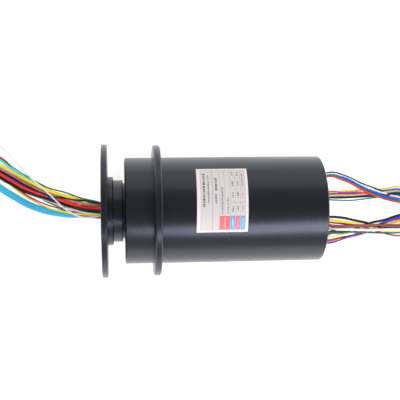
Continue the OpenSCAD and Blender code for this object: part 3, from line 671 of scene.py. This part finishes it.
def softened(outline, edge):
    """The outline with rounded corners, and a corner beside each that keeps the flats flat.

    A corner may give its own radius as a third number. One on the axis stays sharp.
    """
    points = []
    count = len(outline)
    for k in range(count):
        before, here, after = (np.array(outline[(k + d) % count][:2], float) for d in (-1, 0, 1))
        back, ahead = before - here, after - here
        reach = min(np.linalg.norm(back), np.linalg.norm(ahead)) * 0.4
        back, ahead = back / np.linalg.norm(back), ahead / np.linalg.norm(ahead)
        radius = outline[k][2] if len(outline[k]) > 2 else edge
        if here[1] < 1e-6 or radius <= 0:
            points.append(here)
            continue
        size = min(radius, reach)
        points.append(here + back * size * 1.25)
        for t in np.linspace(0, 1, 4):
            points.append(here + back * size * (1 - t) ** 2 + ahead * size * t ** 2)
        points.append(here + ahead * size * 1.25)
    return points


def finish_mesh(mesh, split=33):
    """Closes the seams, turns every face outwards and keeps the corners crisp."""
    work = bmesh.new()
    work.from_mesh(mesh)
    bmesh.ops.remove_doubles(work, verts=work.verts, dist=1e-7)
    bmesh.ops.dissolve_degenerate(work, edges=work.edges, dist=1e-8)
    bmesh.ops.recalc_face_normals(work, faces=work.faces)
    for face in work.faces:
        face.smooth = True
    for edge in work.edges:
        edge.smooth = len(edge.link_faces) == 2 and edge.calc_face_angle(0) < math.radians(split)
    work.to_mesh(mesh)
    work.free()


def new_piece(name, corners, faces):
    """A piece from its corners in millimetres and its faces."""
    mesh = bpy.data.meshes.new(name)
    mesh.from_pydata((np.asarray(corners, float) * MM).tolist(), [], faces)
    finish_mesh(mesh)
    piece = bpy.data.objects.new(name, mesh)
    bpy.context.scene.collection.objects.link(piece)
    return piece


def turned(name, outline, sides=160, edge=0.2):
    """A piece turned about the axis from (along, radius) corners."""
    profile = np.array(softened(outline, edge))
    angles = np.linspace(0, 2 * math.pi, sides, endpoint=False)
    corners, faces = [], []
    for angle in angles:
        for x, r in profile:
            corners.append((x, r * math.sin(angle), r * math.cos(angle)))
    n = len(profile)
    for k in range(sides):
        a, b = k * n, (k + 1) % sides * n
        faces += [(a + i, a + (i + 1) % n, b + (i + 1) % n, b + i) for i in range(n)]
    return new_piece(name, corners, faces)


def applied(piece):
    """Makes what a piece's modifiers do part of its mesh."""
    bpy.context.view_layer.update()
    seen = piece.evaluated_get(bpy.context.evaluated_depsgraph_get())
    shape = bpy.data.meshes.new_from_object(seen)
    piece.modifiers.clear()
    piece.data = shape
    shape.name = piece.name
    finish_mesh(shape)
    return piece


def drilled(piece, holes):
    """Cuts round holes: each is where it starts and ends, its radius at each, and its place."""
    sides = 32
    turn = np.linspace(0, 2 * math.pi, sides, endpoint=False)
    corners, faces = [], []
    for x0, x1, r0, r1, ring, angle in holes:
        near = len(corners)
        far = near + sides
        cy, cz = ring * math.sin(math.radians(angle)), ring * math.cos(math.radians(angle))
        for x, r in ((x0, r0), (x1, r1)):
            corners += [(x, cy + r * math.sin(t), cz + r * math.cos(t)) for t in turn]
        faces += [(near + k, near + (k + 1) % sides, far + (k + 1) % sides, far + k)
                  for k in range(sides)]
        faces += [tuple(range(near, far)), tuple(range(far, far + sides))]
    drill = new_piece("drill", corners, faces)
    cut = piece.modifiers.new("holes", "BOOLEAN")
    cut.operation, cut.solver, cut.object = "DIFFERENCE", "EXACT", drill
    applied(piece)
    bpy.data.objects.remove(drill)


def around_axis(count, first=0.0, step=None):
    """The angles of that many places round the axis."""
    return [first + k * (360 / count if step is None else step) for k in range(count)]


def keep(piece, finish, body, *nodes, slot=None):
    """Gives a piece its finish, sets it on its body and lets it stand for its CAD nodes.

    Where finish is None, the piece has its finish already. Its slot is not used.
    """
    if finish is not None:
        piece.data.materials.clear()
        piece.data.materials.append(finishes[finish])
    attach(piece, body)
    if nodes:
        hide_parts(*nodes)


def make_housing():
    """The front housing with its flange, the tube, and the rear cover."""
    stud_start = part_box("tie_rods")[0].x / MM - 0.5
    front = turned("front_housing_turned", [
        (-28.5, 23.1, 0.3), (-28.5, 42.2, 0.15), (-27.7, 43, 0.15), (-5.6, 43, 0.25),
        (-5.6, 52, 0.12), (-4.6, 53, 0.15), (-1, 53, 0.15), (0, 52, 0.12), (0, 43.02, 0.08),
        (-0.8, 43.02, 0.05), (-0.8, 39.98), (8, 39.98), (8, 30.98), (-8, 30.98), (-8, 27.5),
        (-9.98, 27.5), (-9.98, 28.5), (-11.5, 28.5), (-11.5, 27.5), (-21.5, 27.5), (-21.5, 23.1),
        (-23.5, 23.1), (-23.5, 25.9), (-26.5, 25.9), (-26.5, 23.1)], edge=0.06)
    drilled(front, [(-6.6, 1, 2.25, 2.25, FLANGE_CIRCLE, a) for a in around_axis(6)]
            + [(stud_start, 9, 2.1, 2.1, COVER_CIRCLE, a) for a in around_axis(4)])
    keep(front, "black_anodised", "stator", "front_housing")
    tube = turned("housing_tube_turned", [
        (-0.8, 40, 0.05), (-0.8, 43, 0.05), (130.0, 43, 0.2), (130.8, 42.2, 0.15),
        (130.8, 41.5, 0.1), (128.3, 41.5, 0.05), (128.3, 40, 0.05)], sides=192)
    keep(tube, "black_anodised", "stator", "housing_tube")
    cover = turned("rear_cover_turned", [
        (122.5, 0), (122.5, 17), (120.5, 17), (120.5, 21), (113, 21), (113, 25), (122.8, 25),
        (122.8, 39.98), (128.3, 39.98), (128.3, 41.48), (129.8, 41.48, 0.2), (129.8, 0)], edge=0.06)
    drilled(cover, [(121.8, 130.8, 2.1, 2.1, COVER_CIRCLE, a) for a in around_axis(4)]
            + [(125.7, 130.8, 3.6, 3.6, COVER_CIRCLE, a) for a in around_axis(4)]
            + [(121.8, 130.8, 4.5, 4.5, COVER_CIRCLE, a) for a in around_axis(4, 126, 36)])
    keep(cover, "black_anodised", "stator", "rear_cover")


def make_rotor():
    """The rotor's flange, its hub with collar and neck, and the gland in its bore."""
    hub = turned("rotor_hub_turned", [
        (-45.08, 10), (-45.08, 14.98), (-42.2, 14.98), (-42.2, 27.8), (-38.2, 27.8, 0.15),
        (-37.7, 27.3, 0.15), (-37.7, 25, 0.4), (-30.5, 25, 0.15), (-30, 24.5, 0.15), (-30, 22.5),
        (-24, 22.5), (-24, 20.5), (-21.5, 20.5), (-21.5, 17.5), (-11.5, 17.5), (-11.5, 16.5),
        (8, 16.5), (8, 15), (120.5, 15), (120.5, 14), (121.5, 14), (121.5, 15), (121.9, 15),
        (121.9, 10)], edge=0.06)
    drilled(hub, [(-43.2, -37, 2.1, 2.1, HUB_CIRCLE, a) for a in around_axis(6)])
    keep(hub, "black_anodised", "rotor", "rotor_hub")
    disc = turned("rotor_flange_turned", [
        (-46.2, 10, 0.05), (-46.2, 13.02, 0.05), (-47, 13.02, 0.1), (-47, 53.4, 0.1),
        (-46.4, 54, 0.12), (-42.8, 54, 0.12), (-42.2, 53.4, 0.1), (-42.2, 15, 0.05),
        (-45.08, 15, 0.05), (-45.08, 10, 0.05)], sides=192)
    drilled(disc, [(-48, -41, 2.25, 2.25, FLANGE_CIRCLE, a) for a in around_axis(6)]
            + [(-48, -41, 2.1, 2.1, HUB_CIRCLE, a) for a in around_axis(6)]
            + [(-47.3, -44.9, 4.1, 2.05, HUB_CIRCLE, a) for a in around_axis(6)])
    keep(disc, "black_anodised", "rotor", "rotor_flange")
    gland = turned("rotor_gland_moulded", [
        (-47.5, 7, 0.3), (-47.5, 13, 0.4), (-46.2, 13, 0.1), (-46.2, 9.98, 0.1), (-39, 9.98, 0.4),
        (-39, 7, 0.3)], sides=96)
    keep(gland, "black_rubber", "rotor", "rotor_gland")
    bundle = turned("leads_in_the_shaft", [
        (-46.8, 0), (-46.8, 6.9, 0.6), (106, 6.9, 0.6), (106, 0)], sides=64)
    keep(bundle, "lead_plastic", "rotor", "rotor_harness")


# ---- screws and grommets ----


def ring_of_copies():
    """Nodes that set copies of one piece round the axis, first angle and step in degrees."""
    tree = bpy.data.node_groups.new("ring_of_copies", "GeometryNodeTree")
    face = tree.interface
    face.new_socket("Geometry", in_out="INPUT", socket_type="NodeSocketGeometry")
    inputs = {}
    for name, kind in (("Count", "Int"), ("Radius", "Float"), ("First Angle", "Float"),
                       ("Step", "Float"), ("Finish", "Material")):
        socket = face.new_socket(name, in_out="INPUT", socket_type="NodeSocket" + kind)
        inputs[name] = socket.identifier
    face.new_socket("Geometry", in_out="OUTPUT", socket_type="NodeSocketGeometry")

    nodes = Nodes(tree)
    start = nodes.node("NodeGroupInput")
    radius = start.output("Radius")
    index = nodes.node("GeometryNodeInputIndex")
    turn = nodes.math("RADIANS", index * start.output("Step") + start.output("First Angle"))
    spot = nodes.node("ShaderNodeCombineXYZ", {}, None, nodes.math("SINE", turn) * radius,
                      nodes.math("COSINE", turn) * radius)
    spots = nodes.node("GeometryNodePoints", Count=start.output("Count"), Position=spot)
    lean = nodes.node("FunctionNodeEulerToRotation", {},
                      nodes.node("ShaderNodeCombineXYZ", {}, turn * -1.0))
    copies = nodes.node("GeometryNodeInstanceOnPoints", Points=spots,
                        Instance=start.output("Geometry"), Rotation=lean)
    real = nodes.node("GeometryNodeRealizeInstances", Geometry=copies)
    dressed = nodes.node("GeometryNodeSetMaterial", Geometry=real, Material=start.output("Finish"))
    nodes.node("NodeGroupOutput", {}, dressed)
    return tree, inputs


def copied_round(piece, count, radius, first, step, finish):
    """Turns one piece on the axis into its copies round it, as one plain mesh."""
    tree, inputs = copies_tree
    ring = piece.modifiers.new("copies", "NODES")
    ring.node_group = tree
    for name, value in (("Count", count), ("Radius", radius * MM), ("First Angle", float(first)),
                        ("Step", float(step)), ("Finish", finishes[finish])):
        ring[inputs[name]] = value
    applied(piece)


def screw(name, outline, face_x, key_r, key_depth, way):
    """A screw on the axis with a six-sided key hole, whose outline goes from its tip to its face.

    The number way is 1 where the hole goes in forwards along the axis, and -1 where backwards.
    """
    sides, chamfer, chamfer_depth, drill_point = 30, 0.25, 0.2, 0.5
    angles = np.linspace(0, 2 * math.pi, sides, endpoint=False)
    six = key_r * math.cos(math.pi / 6) / np.cos(angles % (math.pi / 3) - math.pi / 6)
    bottom = face_x + way * key_depth
    rings = [(x, np.full(sides, r)) for x, r in outline]
    rings += [(face_x, six + chamfer), (face_x + way * chamfer_depth, six), (bottom, six)]
    corners = [(x, r * math.sin(a), r * math.cos(a))
               for x, radii in rings for r, a in zip(radii, angles)]
    corners += [(outline[0][0], 0, 0), (bottom + way * drill_point, 0, 0)]
    return new_piece(name, corners, closed_tube(len(rings), sides))


def make_screws():
    """Countersunk screws in the rotor's flange, cap screws in the rear cover, and the grommets."""
    sunk = screw("flange_screws", [(-38, 1.7), (-38.4, 2), (-44.8, 2), (-46.75, 3.75),
                                   (-46.95, 3.75), (-47, 3.6)], -47, 1.45, 1.4, 1)
    copied_round(sunk, 6, HUB_CIRCLE, 0, 60, "black_screw")
    keep(sunk, None, "rotor", "rotor_flange_screws", slot="black_screw")
    cap = screw("rear_cap_screws", [(110.8, 1.7), (111.2, 2), (125.8, 2), (125.85, 3.4),
                                    (125.95, 3.5), (129.4, 3.5), (129.75, 3.3), (129.8, 3.0)],
                129.8, 1.7, 2, -1)
    copied_round(cap, 4, COVER_CIRCLE, 0, 90, "black_screw")
    keep(cap, None, "stator", "cover_screws", slot="black_screw")
    grommet = turned("outlet_grommets", [
        (122.8, 3.02, 0.3), (122.8, 4.48, 0.2), (129.8, 4.48, 0.05), (129.8, 5.5, 0.1),
        (131, 5.5, 0.45), (131, 3.02, 0.3)], sides=48)
    copied_round(grommet, 4, COVER_CIRCLE, 126, 36, "black_rubber")
    keep(grommet, None, "stator", "lead_grommets", slot="black_rubber")


# ---- label ----


def label_print():
    """The label's print, as (from, to, from, to, colour): along the axis, then round it.

    Both go from 0 to 1, and round the tube they start at the far edge.
    """
    paper, field, pink = (0.84, 0.80, 0.81), (0.67, 0.645, 0.635), (0.74, 0.32, 0.34)
    salmon, sky, grey = (0.92, 0.11, 0.11), (0.03, 0.43, 0.80), (0.16, 0.15, 0.17)
    dark, pale = (0.05, 0.05, 0.06), (0.86, 0.80, 0.83)
    rules = ((0.07, 0.009), (0.295, 0.018), (0.435, 0.009), (0.535, 0.009), (0.645, 0.009),
             (0.745, 0.009), (0.842, 0.009), (0.938, 0.009))
    marks = [(0, 1, 0, 1, paper), (0.07, 0.945, 0.03, 0.965, field)]
    marks += [(u, u + width, 0.03, 0.965, pink) for u, width in rules]
    marks += [(0.07, 0.945, v, v + 0.008, pink) for v in (0.03, 0.957)]
    marks += [(0.645, 0.855, 0.187, 0.194, pink)]
    marks += [(0.645, 0.945, v, v + 0.007, pink) for v in (0.37, 0.57)]
    marks += [(u0, u1, 0.757, 0.962, colour) for u0, u1, colour in
              ((0.44, 0.645, salmon), (0.65, 0.742, sky), (0.75, 0.838, salmon),
               (0.846, 0.936, sky))]
    columns = [(0.115, 0.158, 0.10, 0.63, dark, 0.022, 0.011),
               (0.205, 0.238, 0.13, 0.58, grey, 0.014, 0.007),
               (0.345, 0.395, 0.18, 0.39, dark, 0.018, 0.009),
               (0.35, 0.385, 0.44, 0.58, grey, 0.02, 0.008),
               (0.475, 0.507, 0.34, 0.74, grey, 0.02, 0.009),
               (0.585, 0.612, 0.49, 0.73, grey, 0.016, 0.008)]
    for u in (0.682, 0.778):
        columns += [(u, u + 0.034, v - 0.04, v + 0.04, grey, 0.02, 0.01)
                    for v in (0.12, 0.28, 0.46, 0.66)]
    columns += [(0.878, 0.902, v0, v1, grey, 0.014, 0.007)
                for v0, v1 in ((0.1, 0.34), (0.43, 0.5), (0.61, 0.71))]
    columns += [(u, u + 0.022, 0.79, 0.93, pale, 0.016, 0.008) for u in (0.535, 0.685, 0.782, 0.88)]
    chance = np.random.default_rng(5)
    for u0, u1, v0, v1, colour, length, gap in columns:
        v = v0
        while v < v1 - 0.006:
            dash = min(length * chance.uniform(0.6, 1.5), v1 - v)
            trim = 0.005 * chance.integers(0, 3)
            marks.append((u0 + trim, u1, v, v + dash, colour))
            v += dash + gap * chance.uniform(0.7, 1.5)
    return marks


def make_label():
    """A thin printed film round the tube, stuck on a little askew. Its faces follow the print."""
    x0, length, top, bottom, askew = 27.0, 40.0, 47.0, -25.0, 0.3
    inner, outer, rows = 43.02, 43.17, 250
    marks = label_print()
    us = np.unique(np.round([m[k] for m in marks for k in (0, 1)], 3))
    edges = [m[k] * rows for m in marks for k in (2, 3)]
    vs = np.unique(np.round(np.append(edges, np.arange(0, rows + 1, 5)))) / rows
    colours = np.zeros((len(us) - 1, len(vs) - 1, 3))
    mid_u, mid_v = (us[1:] + us[:-1]) / 2, (vs[1:] + vs[:-1]) / 2
    for u0, u1, v0, v1, colour in marks:
        inside = np.outer((mid_u > u0) & (mid_u < u1), (mid_v > v0) & (mid_v < v1))
        colours[inside] = colour
    corners, faces, tones = [], [], []
    paper = marks[0][4]
    for radius in (outer, inner):
        for u in us:
            for v in vs:
                a = math.radians(top + (bottom - top) * v)
                corners.append((x0 + length * u + askew - v, radius * math.sin(a),
                                radius * math.cos(a)))
    n, m = len(us), len(vs)
    for i in range(n - 1):
        for k in range(m - 1):
            a, b = i * m + k, (i + 1) * m + k
            faces.append((a, b, b + 1, a + 1))
            tones.append(colours[i, k])
            faces.append((n * m + a, n * m + a + 1, n * m + b + 1, n * m + b))
            tones.append(paper)
    rim = [(i * m + k, (i + 1) * m + k) for k in (0, m - 1) for i in range(n - 1)]
    rim += [(i * m + k, i * m + k + 1) for i in (0, n - 1) for k in range(m - 1)]
    for a, b in rim:
        faces.append((a, b, n * m + b, n * m + a))
        tones.append(paper)
    mesh = bpy.data.meshes.new("printed_label")
    mesh.from_pydata((np.array(corners) * MM).tolist(), [], faces)
    ink = mesh.color_attributes.new("print", "FLOAT_COLOR", "CORNER")
    flat = np.array([(*tone, 1.0) for face, tone in zip(mesh.polygons, tones)
                     for _ in face.vertices])
    ink.data.foreach_set("color", flat.ravel())
    finish_mesh(mesh, 20)
    piece = bpy.data.objects.new("printed_label", mesh)
    bpy.context.scene.collection.objects.link(piece)
    keep(piece, "label_paper", "stator", "label")


# ---- cable ties ----


def coil_tie(name, centre, angle):
    """A nylon tie round the coil at one angle: a rounded band and its head."""
    out = Vector((math.cos(math.radians(angle)), math.sin(math.radians(angle)), 0))
    along = Vector((-out.y, out.x, 0))
    radius, low, high, half_w, half_h = 30.4, -52.9, -46.6, 5.8, 3.15
    thick, half_band, count = 1.0, 1.3, 40
    middle = Vector((centre[0], centre[1], 0)) + out * radius
    corners, faces = [], []
    for k in range(count):
        t = 2 * math.pi * k / count
        c, s = math.cos(t), math.sin(t)
        stretch = (abs(c) ** 4 + abs(s) ** 4) ** -0.25
        for lift, side in ((0.0, -half_band), (0.0, half_band), (thick, half_band),
                           (thick, -half_band)):
            p = middle + out * (c * stretch * (half_w + lift)) + along * side
            corners.append((p.x, p.y, (high + low) / 2 + s * stretch * (half_h + lift)))
    for k in range(count):
        a, b = k * 4, (k + 1) % count * 4
        faces += [(a + i, a + (i + 1) % 4, b + (i + 1) % 4, b + i) for i in range(4)]
    first = len(corners)
    for x in (-2.4, 2.4):
        for y in (-2.2, 2.2):
            for z in (0.6, 4.0):
                p = middle + out * (half_w * 0.1 + x) + along * y
                corners.append((p.x, p.y, high + z))
    box = ((0, 1, 3, 2), (4, 6, 7, 5), (0, 4, 5, 1), (2, 3, 7, 6), (0, 2, 6, 4), (1, 5, 7, 3))
    faces += [tuple(first + k for k in face) for face in box]
    piece = new_piece(name, corners, faces)
    bevel = piece.modifiers.new("soft", "BEVEL")
    bevel.width, bevel.segments = 0.25 * MM, 2
    return applied(piece)


# ---- putting it together ----


def make_leads():
    """All the leads, and the ties on their coils."""
    rotor, outlets = [], {1: [], 2: [], 3: [], 4: []}
    for lead in rotor_lines() + stator_lines():
        piece, path = add_lead(lead)
        if lead["name"].startswith("stator"):
            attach(piece, "stator")
            outlets[int(lead["name"][7])].append(piece)
        else:
            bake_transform(piece)
            rotor.append(piece)
        "cyan_jacket" if lead["colour"] == "cyan_jacket" else "lead_plastic"
        2 * lead["r"] * MM
        "medium" if lead["r"] > 2 else "limp"
    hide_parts("data_cable")
    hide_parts("rotor_leads_lower", "rotor_lead_coil")
    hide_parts("rotor_leads_upper")
    for k, pieces in outlets.items():
        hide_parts(f"stator_leads_{k}")
    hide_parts("stator_lead_coil")
    for end, centre, angles in (("rotor", ROTOR_COIL, (110, 290)),
                                ("stator", STATOR_COIL, (-40, 160))):
        ties = [coil_tie(f"{end}_tie_{k}", centre, angle) for k, angle in enumerate(angles, 1)]
        keep(ties[0], "tie_nylon", "stator", f"{end}_coil_ties")
        keep(ties[1], "tie_nylon", "stator")


def dress_nodes():
    """Every CAD node that is still shown gets the finish of its slot in the record."""
    for part in frame["record"]["subparts"]:
        node = frame["nodes"][part["node"]]
        finish = finishes[part["material_slot"]]
        if not node.data.materials:
            node.data.materials.append(finish)
        for slot in node.material_slots:
            slot.material = finish


def add_table():
    """A plain white table top. It looks white to the camera and keeps the object's shadow."""
    half = 4000
    corners = [(x * half, y * half, TABLE_Z) for x, y in ((-1, -1), (1, -1), (1, 1), (-1, 1))]
    table = new_piece("table", corners, [(0, 1, 2, 3)])
    s = Shader("white_table")
    cloud = s.noise(s.place(), 6, 2.0)
    lit = s.node("ShaderNodeBsdfDiffuse", {}, s.mix(cloud, (0.86, 0.86, 0.86), (0.88, 0.88, 0.88)))
    glow = s.node("ShaderNodeEmission", {}, (1.0, 1.0, 1.0), 0.62)
    raised = s.node("ShaderNodeAddShader", {}, lit, glow)
    rays = s.node("ShaderNodeLightPath")
    shows = rays.max(rays.output("Is Glossy Ray")).max(rays.output("Is Transmission Ray"))
    seen = s.node("ShaderNodeMixShader", {}, shows, lit, raised)
    s.give(s.tree.nodes["Material Output"].inputs["Surface"], seen)
    s.tree.nodes.remove(s.surface)
    table.data.materials.append(s.material)


def add_lamp(name, place, size, power, colour):
    """A soft rectangular lamp at a place, in metres, that shines towards the housing."""
    aim = (0.03, 0, 0)
    lamp = bpy.data.lights.new(name, "AREA")
    lamp.shape, lamp.size, lamp.size_y = "RECTANGLE", size[0], size[1]
    lamp.energy, lamp.color = power, colour
    holder = bpy.data.objects.new(name, lamp)
    way = (Vector(aim) - Vector(place)).to_track_quat("-Z", "Y")
    holder.matrix_world = Matrix.Translation(Vector(place)) @ way.to_matrix().to_4x4()
    bpy.context.scene.collection.objects.link(holder)


def add_light():
    """Two soft lamps, and a plain white room that shows as the background.

    Gloss sees the room darker overhead than at its walls.
    """
    bpy.context.scene.view_settings.view_transform = "Standard"
    world = bpy.data.worlds.new("studio")
    bpy.context.scene.world = world
    world.use_nodes = True
    room = Nodes(world.node_tree)
    rays = room.node("ShaderNodeLightPath")
    height = room.axes(room.node("ShaderNodeTexCoord"))[2]
    mirrored = room.node("ShaderNodeMapRange", {}, height, 0.1, 1.0, 0.82, 0.28)
    strength = room.blend(rays.output("Is Glossy Ray"), 0.74, mirrored)
    shows = rays.output("Is Camera Ray").max(rays.output("Is Transmission Ray"))
    sky = world.node_tree.nodes["Background"]
    room.give(sky.inputs["Color"], (1.0, 1.0, 1.0))
    room.give(sky.inputs["Strength"], room.blend(shows, strength, 1.0))
    add_lamp("near_softbox", (0.52, -0.78, 0.92), (1.12, 0.46), 9.6, (0.92, 0.94, 1.0))
    add_lamp("far_fill", (0.0, 1.5, 0.75), (2.6, 1.2), 5.9, (1.0, 0.98, 0.95))


add_camera()
finishes = make_finishes()
make_leads()
copies_tree = ring_of_copies()
make_housing()
make_rotor()
make_screws()
make_label()
dress_nodes()
add_table()
add_light()
